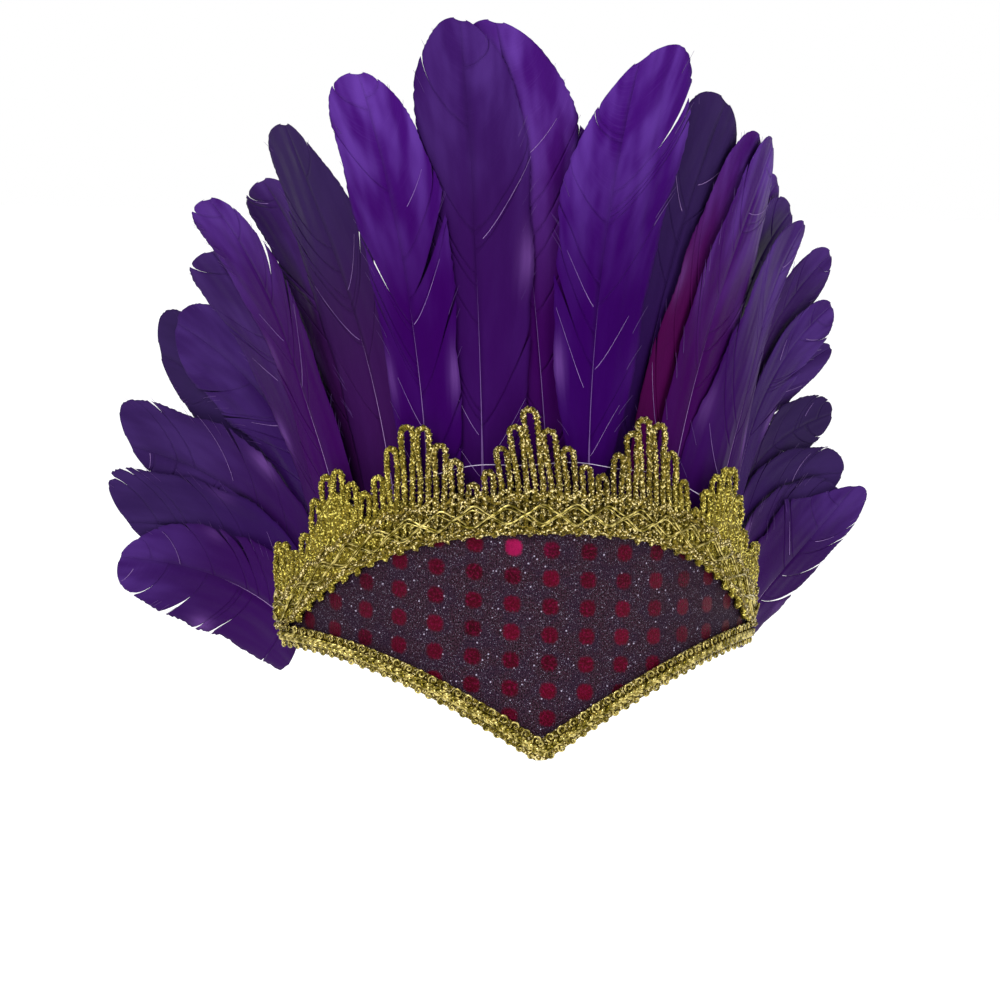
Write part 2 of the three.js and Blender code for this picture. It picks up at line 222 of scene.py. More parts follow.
class Value:
    """A shader value; arithmetic on it adds Math nodes beside its own."""

    def __init__(self, nodes, socket):
        self.nodes, self.socket = nodes, socket

    def maths(self, operation, *others):
        sockets = dict(enumerate((self, *others)))
        return self.nodes.node("Math", {"operation": operation}, sockets)

    def __add__(self, other):
        return self.maths("ADD", other)

    def __mul__(self, other):
        return self.maths("MULTIPLY", other)

    def __sub__(self, other):
        return self.maths("SUBTRACT", other)

    def __rsub__(self, other):
        return self.nodes.node("Math", {"operation": "SUBTRACT"}, {0: other, 1: self})

    def __pow__(self, other):
        return self.maths("POWER", other)

    __radd__ = __add__
    __rmul__ = __mul__


class Nodes:
    """The nodes of a finish or of the room, each made by the one method node."""

    def __init__(self, tree):
        self.tree = tree

    def node(self, kind, settings, sockets, output=0):
        made = self.tree.nodes.new("ShaderNode" + kind)
        for setting, value in settings.items():
            setattr(made, setting, value)
        for socket, value in sockets.items():
            self.feed(made.inputs[socket], value)
        return Value(self, made.outputs[output])

    def feed(self, socket, value):
        if isinstance(value, Value):
            self.tree.links.new(value.socket, socket)
        elif socket.type == "RGBA":
            socket.default_value = (*value, 1)
        else:
            socket.default_value = value

    def own_place(self, kind="Object"):
        return self.node("TexCoord", {}, {}, kind)

    def part(self, value, number, kind="XYZ"):
        """One of the three numbers of a place or a colour."""
        return self.node("Separate" + kind, {}, {0: value}, number)

    def mark(self, name, output="Fac"):
        return self.node("Attribute", {"attribute_name": name}, {}, output)

    def blend(self, share, first, second):
        return self.node("Mix", {"data_type": "RGBA"}, {0: share, 6: first, 7: second}, 2)

    def noise(self, place, scale, detail=2.0, rough=0.5):
        sockets = {"Vector": place, "Scale": scale, "Detail": detail, "Roughness": rough}
        return self.node("TexNoise", {}, sockets)

    def cells(self, place, scale, output):
        return self.node("TexVoronoi", {}, {"Vector": place, "Scale": scale}, output)

    def between(self, value, low, high):
        """0 below low, 1 above high, and smooth between them."""
        sockets = {"Value": value, "From Min": low, "From Max": high}
        return self.node("MapRange", {"interpolation_type": "SMOOTHSTEP"}, sockets)

    def scaled(self, place, x, y, z):
        return self.node("VectorMath", {"operation": "MULTIPLY"}, {0: place, 1: (x, y, z)})

    def bump(self, height, depth, strength=1.0):
        sockets = {"Height": height, "Distance": depth, "Strength": strength}
        return self.node("Bump", {}, sockets)


class Finish(Nodes):
    """A procedural finish, built node by node round one Principled shader."""

    def __init__(self, name, **constants):
        self.material = bpy.data.materials.new(name)
        self.material.use_nodes = True
        super().__init__(self.material.node_tree)
        self.tree.nodes.clear()
        self.shader = self.tree.nodes.new("ShaderNodeBsdfPrincipled")
        output = self.tree.nodes.new("ShaderNodeOutputMaterial")
        self.tree.links.new(self.shader.outputs[0], output.inputs[0])
        for socket, value in constants.items():
            self.on_shader(socket).default_value = value

    def on_shader(self, name):
        return self.shader.inputs[name.replace("_", " ").title().replace("Ior", "IOR")]

    def show(self, **inputs):
        for socket, value in inputs.items():
            self.feed(self.on_shader(socket), value)
        return self.material


# The knit's marks are its places on the flat cloth, in centimetres, and how near it is to the painted
# highlight on the foil dots.
knit = Finish("dotted_knit", specular_ior_level=0.05)
on_cloth = knit.mark("cloth", "Vector")
cloth_along = knit.part(on_cloth, 0)
cloth_height = knit.part(on_cloth, 1) + cloth_along * DOT_SLOPE
column = cloth_along * (10 / DOT_COLUMN) + DOT_START[0]
row = cloth_height * (10 / DOT_ROW) + DOT_START[1]
off_column = ((column.maths("FRACT") - 0.5) * DOT_COLUMN).maths("ABSOLUTE")
off_row = ((row.maths("FRACT") - 0.5) * DOT_ROW).maths("ABSOLUTE")
from_dot = (off_column ** DOT_POWER + off_row ** DOT_POWER) ** (1 / DOT_POWER)
from_dot = from_dot + knit.noise(on_cloth, 16, 3) * 2.2 - 0.85
dot = 1 - knit.between(from_dot, DOT_SIZE / 2 - 0.7, DOT_SIZE / 2 + 0.6)
which = knit.node("CombineXYZ", {}, {0: column.maths("FLOOR"), 1: row.maths("FLOOR")})
dot_tone = knit.node("TexWhiteNoise", {"noise_dimensions": "2D"}, {"Vector": which})
ribs = (cloth_along * 62 + knit.noise(on_cloth, 3) * 5).maths("SINE") * 0.5 + 0.5
grain = knit.between(knit.noise(knit.scaled(on_cloth, 1, 0.6, 1), GRAIN_SCALE, 2, 0.7), 0.42, 0.61)
cloudy = knit.noise(on_cloth, 1.1, 3)
speck_draw = knit.part(knit.cells(on_cloth, SPECK_SCALE, "Color"), 0, "Color")
glitter = knit.between(speck_draw, 0.955, 0.99)
dim_glitter = knit.between(speck_draw + grain * 0.25, 0.72, 0.98)
spark_from = knit.cells(on_cloth, SPARK_SCALE, "Distance")
spark_draw = knit.part(knit.cells(on_cloth, SPARK_SCALE, "Color"), 0, "Color")
spark = knit.between(spark_draw, 0.95, 0.96) * (1 - knit.between(spark_from, 0.2, 0.38))
cloth_colour = knit.blend(grain * 0.8 + ribs * 0.2, (0.0008, 0.0003, 0.0010), (0.046, 0.0145, 0.030))
cloth_colour = knit.blend(knit.between(cloudy, 0.4, 0.62) * 0.45, cloth_colour, (0.012, 0.005, 0.020))
at_side = knit.between(cloth_along.maths("ABSOLUTE"), 2.5, 9)
cloth_colour = knit.blend(at_side * 0.35, cloth_colour, (0.010, 0.002, 0.010))
cloth_colour = knit.blend(dim_glitter * 0.3, cloth_colour, (0.080, 0.056, 0.082))
cloth_colour = knit.blend(glitter * 0.6, cloth_colour, (0.40, 0.36, 0.50))
cloth_colour = knit.blend(spark * 0.85, cloth_colour, (0.46, 0.41, 0.55))
foil = knit.blend(dot_tone, (0.022, 0.0005, 0.0028), (0.088, 0.0010, 0.010))
mottled = knit.between(knit.noise(on_cloth, 9, 4, 0.7), 0.45, 0.65)
foil = knit.blend(mottled * 0.55, foil, (0.22, 0.004, 0.048))
foil = knit.blend(grain * 0.45, foil, (0.020, 0.0010, 0.004))
foil = knit.blend(at_side * 0.5, foil, (0.050, 0.0010, 0.010))
# Painted highlight: the foil dots below the arch's top are painted a brighter pink, more on some dots
# than others.
near_lace = knit.between(knit.mark("near_lace"), 0.0, 1.0) * (0.15 + dot_tone * 0.85)
foil = knit.blend(near_lace, foil, (0.48, 0.010, 0.115))
knit.show(
    base_color=knit.blend(dot, cloth_colour, foil),
    metallic=dot * 0.45 + glitter * 0.5,
    roughness=0.62 - dot * 0.32 - glitter * 0.3,
    normal=knit.bump(grain * 0.5 + ribs * 0.35 + glitter * 0.6 + dot * 0.4, KNIT_BUMP),
)

panel_along = np.concatenate([
    -PANEL_HALF_LENGTH + np.array([0, 0.15, 0.5, 1.2]),
    np.linspace(-PANEL_HALF_LENGTH + 2.5, PANEL_HALF_LENGTH - 2.5, 130),
    PANEL_HALF_LENGTH - np.array([1.2, 0.5, 0.15, 0]),
])[:, None]
panel_share = np.concatenate([
    [0, 0.002, 0.006, 0.014, 0.03],
    np.linspace(0.06, 0.94, 20),
    [0.97, 0.986, 0.994, 0.998, 1],
])
panel_low = lower_edge(panel_along)
panel_up = arch_height(panel_along) + PANEL_HEM - panel_low
panel_height = panel_low + panel_up * panel_share
to_edge = np.minimum(
    np.minimum(panel_share, 1 - panel_share) * panel_up,
    PANEL_HALF_LENGTH - np.abs(panel_along),
)
turned_in = 1 - np.clip(to_edge / PANEL_EDGE_ROUND, 0, 1)
turned_in = PANEL_EDGE_ROUND * (1 - np.sqrt(1 - turned_in ** 2))
slack = np.sin(panel_along * 0.11 + 1) * np.sin(panel_height * 0.09 + panel_along * 0.03)
slack = CLOTH_SLACK * slack * np.clip(to_edge / SLACK_FROM_EDGE, 0, 1)
on_flat = np.stack(np.broadcast_arrays(panel_along / 10, panel_height / 10, 0 * panel_height), -1)
panel_shape = Shape()
panel_shape.sheet(
    bend(panel_along, panel_height, slack - turned_in),
    bend(panel_along, panel_height, turned_in - PANEL_THICKNESS),
    cloth=on_flat,
    near_lace=np.exp(-((panel_along - BRIGHT_DOT[0]) / BRIGHT_REACH[0]) ** 2)
    * np.exp(-((panel_height - arch_height(panel_along) - BRIGHT_DOT[1]) / BRIGHT_REACH[1]) ** 2),
)
panel = panel_shape.piece("panel", [knit.material])
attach(panel, "root")
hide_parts("front_panel")


# Gold lace
# One long gold cord, laid in upright loops that rise and fall in peaks and caught down by
# wavy gold threads. It is sewn along the arched top, with a fine thread tying its valleys.
SEAT_GAP = 0.3
LACE_CORD = 1.2  # radius
LOOP_PITCH = 6.2
LOOP_START = 2.6  # the loop nearest the middle, to +X of it
LOOP_LEG = 1.55  # from a loop's middle to each leg
LOOP_SPREAD = 0.95  # further out at the tallest loops' tops
LACE_PEAK = 49  # the height of a peak with a top of 1, above the arch
LACE_OVERHANG = 3
LACE_REACH = 0.2  # from a peak's middle to its foot, as a share of the panel's half length
LACE_VALLEY = 0.39  # as a share of LACE_PEAK
LOOP_UNEVEN = (-1.4, 0.8)  # how much lower or higher single loops are
LEAN_UNEVEN = 2  # degrees
CORD_STEP = 0.62  # between the cord's rings of points
CORD_UNEVEN = 0.12  # as a share of its radius
CORD_TWIST = 1.9  # the length of one turn of its plies
CORD, THREAD, TIE = range(3)  # places in the lace's list of finishes
LACE_GROUND = 19  # above the arch, where the loops come free
GROUND_STEP = 0.8
GROUND_PEBBLES = 0.5
GROUND_PACKED = 1.3  # how much thicker the ground is at the sides
GOLD_GRAIN = 1750  # to a metre
BRAID_WIDTH = 9.5
WAVE_PITCH = 25.8
TIE_RISE = 9  # of the fine pale thread over the valleys
TIE_RADIUS = 0.14
# Where each peak is as a share of the panel's half length, its top as a share of
# LACE_PEAK, and how far its loops lean to +X, in degrees.
LACE_PEAKS = [
    dict(at=-1.03, top=0.93, lean=-2),
    dict(at=-0.73, top=0.98, lean=-2),
    dict(at=-0.42, top=1.04, lean=-3),
    dict(at=-0.03, top=0.99, lean=-8),
    dict(at=0.345, top=1.06, lean=-3),
    dict(at=0.72, top=1.02, lean=1),
    dict(at=1.03, top=0.93, lean=2),
]

gold_cord = Finish("gold_cord", metallic=0.9)
cord_place = gold_cord.own_place()
grains = gold_cord.cells(cord_place, GOLD_GRAIN, "Distance")
grain_painted_light = gold_cord.part(gold_cord.cells(cord_place, GOLD_GRAIN, "Color"), 1, "Color")
patches = gold_cord.noise(cord_place, 60)
# Painted shade: each grain is painted from near black, for the shade in the gaps between grains, up to
# gold.
cord_colour = gold_cord.blend(grain_painted_light ** 1.7, (0.012, 0.006, 0.001), (0.44, 0.315, 0.046))
cord_colour = gold_cord.blend(patches * 0.3, cord_colour, (0.26, 0.21, 0.020))
crushed = gold_cord.mark("crushed")
cord_colour = gold_cord.blend(crushed * 0.24, cord_colour, (0.30, 0.245, 0.012))
# Painted highlights on the brightest grains, yellower where the lace is crushed.
painted_glint = gold_cord.blend(crushed, (1.0, 0.86, 0.44), (0.96, 0.84, 0.20))
cord_colour = gold_cord.blend(gold_cord.between(grain_painted_light, 0.78, 0.92), cord_colour, painted_glint)
gold_cord.show(
    base_color=cord_colour,
    roughness=0.22 + grain_painted_light * 0.25,
    normal=gold_cord.bump(1 - grains, 0.0005, 1.0),
)

gold_thread = Finish("gold_thread", metallic=0.95)
thread_tone = gold_thread.noise(gold_thread.own_place(), 420)
# Painted shade and highlight: the thread is painted dark olive in some patches and pale gold in others
# along it.
thread_painted_light = gold_thread.between(thread_tone, 0.38, 0.66)
gold_thread.show(
    base_color=gold_thread.blend(thread_painted_light, (0.11, 0.085, 0.008), (0.55, 0.455, 0.15)),
    roughness=0.16 + thread_tone * 0.12,
    normal=gold_thread.bump(thread_tone, 0.0002, 0.7),
)

tie_thread = Finish("tie_thread", roughness=0.5, sheen_weight=0.3)
tie_tone = tie_thread.noise(tie_thread.own_place(), 900)
tie_thread.show(base_color=tie_thread.blend(tie_tone, (0.36, 0.28, 0.45), (0.62, 0.52, 0.72)))


def lace_foot(along):
    return np.maximum(arch_height(along), lower_edge(along) + BRAID_WIDTH + SEAT_GAP)


def lace_top(along):
    share = along / PANEL_HALF_LENGTH
    tops = [
        peak["top"] - (peak["top"] - LACE_VALLEY) * (np.abs(share - peak["at"]) / LACE_REACH) ** 1.15
        for peak in LACE_PEAKS
    ]
    return arch_height(along) + LACE_PEAK * np.maximum(LACE_VALLEY, np.max(tops, axis=0))


def straight_out(along):
    """The direction straight out of the panel's face at places along it."""
    return bend(along, 0.0, 1.0) - bend(along, 0.0, 0.0)


def crushed_share(along):
    """How far the lace is crushed together, which it is towards the sides."""
    return smooth_step(corner_share(along), 0.25, 0.6)


chance = np.random.default_rng(11)
lace_shape = Shape()
per_side = int((PANEL_HALF_LENGTH + LACE_OVERHANG - LOOP_LEG - LACE_CORD) / LOOP_PITCH)
cord_along, cord_height = [], []
for loop in range(-per_side - 1, per_side + 1):
    middle = loop * LOOP_PITCH + LOOP_START
    foot, top = lace_foot(middle), lace_top(middle) - LACE_CORD + chance.uniform(*LOOP_UNEVEN)
    nearest = min(LACE_PEAKS, key=lambda peak: abs(peak["at"] - middle / PANEL_HALF_LENGTH))
    tallness = (top - arch_height(middle) - LACE_PEAK * LACE_VALLEY) / (LACE_PEAK * (1 - LACE_VALLEY))
    half = LOOP_LEG + LOOP_SPREAD * max(0, tallness)
    free = top - half - foot
    up = np.linspace(0, 1, 42)
    widening = smooth_step(up, 0.45, 1)
    leg = LOOP_LEG + (half - LOOP_LEG) * widening
    turn = np.linspace(0, np.pi, 9)[1:-1]
    turned_over = np.pi / 2 * (1 - up[:5] / up[4])
    leg[:5] = LOOP_PITCH / 2 - (LOOP_PITCH / 2 - LOOP_LEG) * np.cos(turned_over)
    across = np.concatenate([-leg, -half * np.cos(turn), leg[::-1]])
    rise = np.concatenate([up * free, free + half * np.sin(turn), up[::-1] * free])
    leaning = np.tan(np.radians(nearest["lean"] + chance.uniform(-LEAN_UNEVEN, LEAN_UNEVEN)))
    leaning = leaning * np.maximum(0, rise - LACE_GROUND)
    cord_along.append(middle + across + leaning)
    cord_height.append(foot + LACE_CORD + rise)
cord_along, cord_height = np.concatenate(cord_along), np.concatenate(cord_height)
weave = 0.35 * np.sin(cord_along * 2.1 + cord_height * 0.5)
lace_line = bend(cord_along, cord_height, SEAT_GAP + LACE_CORD + 0.25 + weave)
run = np.concatenate([[0], np.cumsum(np.linalg.norm(np.diff(lace_line, axis=0), axis=1))])
even = np.arange(0, run[-1], CORD_STEP)
lace_line = np.stack([np.interp(even, run, lace_line[:, axis]) for axis in range(3)], -1)
even_along = np.interp(even, run, cord_along)
lace_shape.tube(
    lace_line,
    straight_out(even_along),
    LACE_CORD * (1 + CORD_UNEVEN * chance.standard_normal(len(even))),
    sides=8,
    lobes=2,
    pitch=CORD_TWIST,
    crushed=crushed_share(even_along),
)

# The crushed ground behind the cord, which reaches higher up the loops at the sides.
ground_along = np.arange(-PANEL_HALF_LENGTH, PANEL_HALF_LENGTH + 0.5, GROUND_STEP)[:, None]
side_share = smooth_step(corner_share(ground_along), 0.35, 0.7)
ground_foot = lace_foot(ground_along) + 0.9
ground_top = arch_height(ground_along) + LACE_GROUND - 3
ground_top = ground_top + side_share * np.maximum(0, lace_top(ground_along) - 9 - ground_top)
ground_height = ground_foot + (ground_top - ground_foot) * np.linspace(0, 1, 30)[None, :]
pebbles = chance.uniform(0, GROUND_PEBBLES, ground_height.shape) + GROUND_PACKED * side_share
lace_shape.sheet(
    bend(ground_along, ground_height, SEAT_GAP + 0.5 + pebbles),
    bend(ground_along, ground_height, SEAT_GAP),
    crushed=crushed_share(ground_along) + 0 * ground_height,
)

# How high each thread runs above the bare fabric, how far it waves, over what length and
# from where, how thick it is, how far out it lies, and whether it is the plain gold one.
LACE_THREADS = [
    dict(height=9.2, wave=3.5, pitch=WAVE_PITCH, start=-0.17, radius=0.46, out=3.3, plain=True),
    dict(height=9.2, wave=3.5, pitch=WAVE_PITCH, start=0.33, radius=0.46, out=3.6, plain=True),
    dict(height=8.2, wave=3.3, pitch=WAVE_PITCH, start=-0.15, radius=0.4, out=3.0, plain=True),
    dict(height=8.4, wave=3.2, pitch=WAVE_PITCH, start=0.36, radius=0.4, out=3.1, plain=True),
    dict(height=16.2, wave=1.5, pitch=9.3, start=0.0, radius=0.85, out=2.7, plain=False),
    dict(height=15.0, wave=1.6, pitch=12.4, start=0.3, radius=0.8, out=2.6, plain=False),
    dict(height=2.6, wave=0.6, pitch=6.2, start=0.2, radius=0.85, out=2.7, plain=False),
    dict(height=4.4, wave=1.0, pitch=9.3, start=0.6, radius=0.7, out=2.5, plain=False),
]
thread_along = np.arange(-PANEL_HALF_LENGTH - 2, PANEL_HALF_LENGTH + 2, 0.7)
for thread in LACE_THREADS:
    phase = 2 * np.pi * (thread_along / thread["pitch"] + thread["start"])
    height = np.maximum(arch_height(thread_along), lace_foot(thread_along) - 4)
    zigzag = np.sin(phase) - 0.11 * np.sin(3 * phase)
    height = height + thread["height"] + thread["wave"] * zigzag
    pulls = chance.uniform(-0.55, 0.55, len(thread_along) // 6)
    height = height + np.interp(thread_along, np.linspace(-130, 130, len(pulls)), pulls)
    out = thread["out"] + 0.25 * np.cos(phase)
    line = bend(thread_along, height, out)
    lobed = dict(lobes=0) if thread["plain"] else dict(lobes=2, pitch=2.2)
    radius = thread["radius"] * (1 + 0.05 * chance.standard_normal(len(line)))
    kind = THREAD if thread["plain"] else CORD
    lace_shape.tube(line, straight_out(thread_along), radius, sides=7, kind=kind, **lobed)
tie_height = arch_height(thread_along) + LACE_PEAK * LACE_VALLEY + TIE_RISE
tie_height = tie_height + 0.6 * np.sin(thread_along / 6)
tie_line = bend(thread_along, tie_height, 0.9)
lace_shape.tube(tie_line, straight_out(thread_along), TIE_RADIUS, sides=4, kind=TIE)
lace = lace_shape.piece("lace", [gold_cord.material, gold_thread.material, tie_thread.material])
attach(lace, "root")
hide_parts("crown_lace")


# Gold braid
# A narrow braid of bright gold cord: a three-strand plait down the middle, with small
# curls of finer cord turned out along each side. It is sewn along the lower edge, over a
# thin woven tape.
TAPE_THICKNESS = 0.7
TAPE_HALF = 4.1  # half its width
TAPE_BULGE = 0.25
PLAIT_STRAND = 0.82  # radius
PLAIT_WAVE = 1.1
PLAIT_PITCH = 8.2
PLAIT_OUT = 2.05  # from the panel's face to the strands
PLAIT_CROSS = 0.55  # how far they pass over and under each other
CURL_PITCH = 5.1
CURL_RADIUS = 1.8
LOW_CURL = 0.78  # how much smaller the lower edge's curls are
CURL_CORD = 0.46  # radius

braid_shape = Shape()
braid_along = np.linspace(-PANEL_HALF_LENGTH + 0.6, PANEL_HALF_LENGTH - 0.6, 420)
braid_middle = lower_edge(braid_along) + BRAID_WIDTH / 2
slope = np.gradient(braid_middle, braid_along)
steep = np.sqrt(1 + slope ** 2)
braid_run = np.concatenate([[0], np.cumsum(np.hypot(np.diff(braid_along), np.diff(braid_middle)))])


def on_braid(run, across, out):
    """Places a distance along the braid, across it (up is positive) and out of it."""
    along = np.interp(run, braid_run, braid_along)
    lean = np.interp(run, braid_run, slope / steep)
    level = np.interp(run, braid_run, 1 / steep)
    middle = np.interp(run, braid_run, braid_middle)
    along = np.clip(along - across * lean, -PANEL_HALF_LENGTH, PANEL_HALF_LENGTH)
    return bend(along, middle + across * level, out), straight_out(along)


tape_run = np.linspace(0, braid_run[-1], 260)[:, None]
tape_across = np.linspace(-TAPE_HALF, TAPE_HALF, 9)[None, :]
tape_bulge = TAPE_BULGE * np.cos(tape_across / TAPE_HALF * np.pi / 2)
tape_front, _ = on_braid(tape_run, tape_across, SEAT_GAP + TAPE_THICKNESS + tape_bulge)
tape_back, _ = on_braid(tape_run, tape_across, SEAT_GAP + 0 * tape_bulge)
braid_shape.sheet(tape_front, tape_back)
strand_run = np.arange(0.5, braid_run[-1] - 0.5, 0.6)
for strand in range(3):
    phase = 2 * np.pi * (strand_run / PLAIT_PITCH + strand / 3)
    out = PLAIT_OUT + PLAIT_CROSS * np.sin(2 * phase)
    line, outward = on_braid(strand_run, PLAIT_WAVE * np.sin(phase), out)
    braid_shape.tube(line, outward, PLAIT_STRAND, sides=8, kind=THREAD)
curl_turn = np.linspace(0, 1, 30)
for edge in (1, -1):
    for start in np.arange(2.2 + 1.2 * (edge < 0), braid_run[-1] - 2.5, CURL_PITCH):
        shrink = CURL_RADIUS * (1 - 0.88 * smooth_step(curl_turn, 0.2, 1)) * chance.uniform(0.9, 1.08)
        shrink = shrink * (1 if edge > 0 else LOW_CURL)
        angle = -0.9 * np.pi + curl_turn * 3.3 * np.pi
        tail = smooth_step(curl_turn, 0.0, 0.22)
        run_to = start + chance.uniform(-0.25, 0.25) - shrink * np.cos(angle) * tail - 1.9 * (1 - tail)
        across = edge * (0.6 + (2.45 + shrink * np.sin(angle)) * tail)
        line, outward = on_braid(run_to, across, 1.6 + 0.9 * curl_turn + 0.4 * (1 - tail))
        braid_shape.tube(line, outward, CURL_CORD, kind=THREAD)
braid = braid_shape.piece("braid", [gold_cord.material, gold_thread.material])
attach(braid, "root")
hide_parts("edge_braid")


# Feathers
# Dyed goose quill feathers, fixed side by side behind the arched top and fanned out. Each
# has a tapering shaft and a flat vane on each side, made of fine barbs that hold together
# but part here and there, and the dye has taken darker on some tips.
FEATHER_LENGTH = 210
FEATHER_WIDTH = 46
SHAFT_THICKNESS = 1.7
SHAFT_FLAT = 0.7
QUILL_INSET = 12  # how far below the arch the quills end
QUILL_LIMIT = PANEL_HALF_LENGTH - 15
LAYER_PITCH = SHAFT_THICKNESS + 1.2
LAYERS_START = 8.5  # up to here from the quill ends, the layers lie together
LAYERS_APART = 32.5  # from here on, they are a whole pitch apart
FAN_LEAN = 14  # how far forwards the longest feathers' tips lean
VANE_THICKNESS = 0.34
VANE_CUP = 1.0  # how far back the vane lies, CUP_WIDTH out from the shaft
CUP_WIDTH = 23
VANE_RAGGED = 0.035  # how deep the edge's small nicks are, as a share of the vane's reach
PARTING_REACH = 0.035  # how far up and down the vane a parting pulls its barbs
STEPS_RAGGED = 400
BARB_ROWS = 112  # over the whole length
BARB_SWEEP = 0.2  # how much further up a barb's tip is than its root
FIRST_BARB, LAST_BARB = 0.055, 0.995
LEAST_GROUP = 0.004  # of the barbs between two partings
LOOSE_BARBS = 9  # on each side of a feather
LONG_FEATHER = 0.9  # from here on, a feather shows one more pale barb on each side
QUILL, PALE = 1, 2  # places in the feathers' list of finishes, after the vane's
# The vane's half width up to its widest, as a share of the feather's width.
VANE_PROFILE = [
    (0, 0), (0.05, 0), (0.08, 0.1), (0.12, 0.24), (0.18, 0.34),
    (0.34, 0.41), (0.5, 0.46), (0.68, 0.5), (1, 0.5),
]
TIP_START = 0.72  # where the vane starts to close towards its tip

# seat: the quill's place as a share of the quill row. root and tip: the shaft's lean in
# degrees. length and width: shares of the named sizes. left: the left vane's share of the
# width. slant: how far the left edge runs past the right. taper: how much wider it is low
# down. layer: 0 in front. blunt: how square the left and right of the tip are. ink: how
# dark the tip is. plum: how red the dye is. foot: above 1, the vane widens further up.
FEATHER_TABLE = """
seat root tip length width left slant taper layer blunt_left blunt_right ink plum foot
-1.0 -69 -92 .555 1.15 .55 .4 .8 0 5 2.4 .5 .1 1
-.955 -56 -96 .585 1.0 .5 -.7 0 1 2 9 .9 0 1
-.92 -46 -82 .65 1.05 .5 -.7 .2 2 2 9 .85 .1 1
-.88 -32 -68 .72 .95 .5 -.6 0 4 2 9 1 0 1
-.84 -25 -66 .74 .95 .5 -.2 0 3 4 1.8 .7 0 1
-.79 -20 -47 .78 .8 .5 .6 0 1 9 1.8 .8 .2 1
-.74 -14 -48 .865 .68 .5 .65 0 0 12 1.5 .3 .2 1
-.69 -12 -40 .74 .9 .5 0 0 4 2.0 2.0 .8 .2 1
-.64 -8 -46 .85 .85 .5 .5 0 3 8 1.7 .7 .4 1
-.58 -5 -34 .9 .9 .55 .6 0 2 7 1.5 1 .3 1
-.43 -2 -16 .925 .86 .45 .2 -.1 0 8 1.8 0 .05 1.25
-.37 -1 -5 .83 .95 .5 0 0 3 2.0 2.0 .4 .3 1
-.23 -2 -5 .99 1.05 .47 .3 0 1 2.2 1.5 .45 .1 1.25
-.09 -2 -4 .85 .9 .5 0 0 4 2.0 2.0 .5 .5 1
.04 -4 -12 .99 1.1 .45 .4 0 2 2.6 2.2 .1 .2 1.25
.12 -2 -6 .82 .9 .5 0 0 3 2.0 2.0 .3 .5 1
.18 -4 10 .925 1.1 .45 -1.0 -.5 0 1.05 2.6 0 0 1.9
.29 0 12 .74 1.0 .4 0 .4 4 2.0 2.0 .6 .9 1
.37 2 24 .895 .95 .5 .1 .2 3 8 7 .95 .0 1
.45 4 35 .865 .95 .42 .1 .3 2 8 7 .1 .75 1
.52 5 34 .87 .95 .35 .1 .2 1 9 8 .25 .3 1
.6 7 56 .9 1.25 .4 0 .9 4 5 4 .35 .3 1
.67 9 58 .87 1.2 .5 0 .9 3 6 6 .6 0 1
.73 12 50 .83 1.05 .66 -.1 1.2 0 2.4 6 .4 .1 1
.79 22 58 .86 .6 .45 0 .3 2 6 5 .6 .2 1
.84 24 62 .78 .65 .4 -.2 .4 1 6 5 .5 0 1
.885 29 69 .75 .55 .45 -.2 .8 4 5 5 .7 .1 1
.915 32 82 .67 .65 .5 .2 .3 3 4 4 1 .1 1
.942 39 95 .63 .7 .5 .3 0 2 2.2 3 .9 0 1
.97 53 93 .57 .9 .5 .3 0 1 2 3 .9 .1 1
1.0 84 48 .6 .95 .62 -1.0 .2 0 1.3 2.6 .5 .1 1
"""
# Where the vane parts: which feather and side, how far up the shaft the parting's barb
# starts, how far across it the parting begins, and how wide it opens at the edge.
PARTINGS_TABLE = """
feather side at start gap
1 -1 .62 .5 3
1 1 .35 .4 5
2 -1 .70 .4 4
3 -1 .66 .5 5
3 1 .5 .6 3
5 -1 .72 .5 3
6 -1 .64 .5 4
6 1 .42 .6 3
7 1 .70 .35 5
7 1 .55 .45 4
9 -1 .66 .6 3
10 -1 .6 .6 4
11 -1 .50 .35 4
11 -1 .38 .55 3
11 1 .55 .12 9
11 1 .36 .5 4
13 -1 .62 .6 3
13 -1 .45 .5 4
15 1 .56 .6 2
17 1 .74 .5 4
17 -1 .40 .5 3
19 -1 .6 .6 3
21 1 .5 .6 3
22 -1 .66 .5 4
24 1 .5 .55 4
25 1 .62 .5 3
26 1 .66 .4 5
26 1 .5 .5 4
27 1 .6 .4 5
28 -1 .6 .6 3
29 1 .56 .6 3
30 -1 .6 .5 3
31 1 .36 .4 6
31 1 .52 .5 4
31 -1 .55 .6 3
"""


def table(text):
    heads, *rows = text.strip().splitlines()
    return [dict(zip(heads.split(), map(float, row.split()))) for row in rows]


def quill_height(along):
    return arch_height(along) - QUILL_INSET


def layer_depth(along, height, layer):
    """How far behind the panel a place on a layer of the fan lies."""
    inside = np.minimum(np.abs(along), QUILL_LIMIT)
    rise = np.maximum(0, height - quill_height(inside))
    parted = smooth_step(np.hypot(np.abs(along) - inside, rise), LAYERS_START, LAYERS_APART)
    free = np.maximum(0, rise - QUILL_INSET - PANEL_HEM)
    return layer * LAYER_PITCH * parted - FAN_LEAN * (free / FEATHER_LENGTH) ** 2


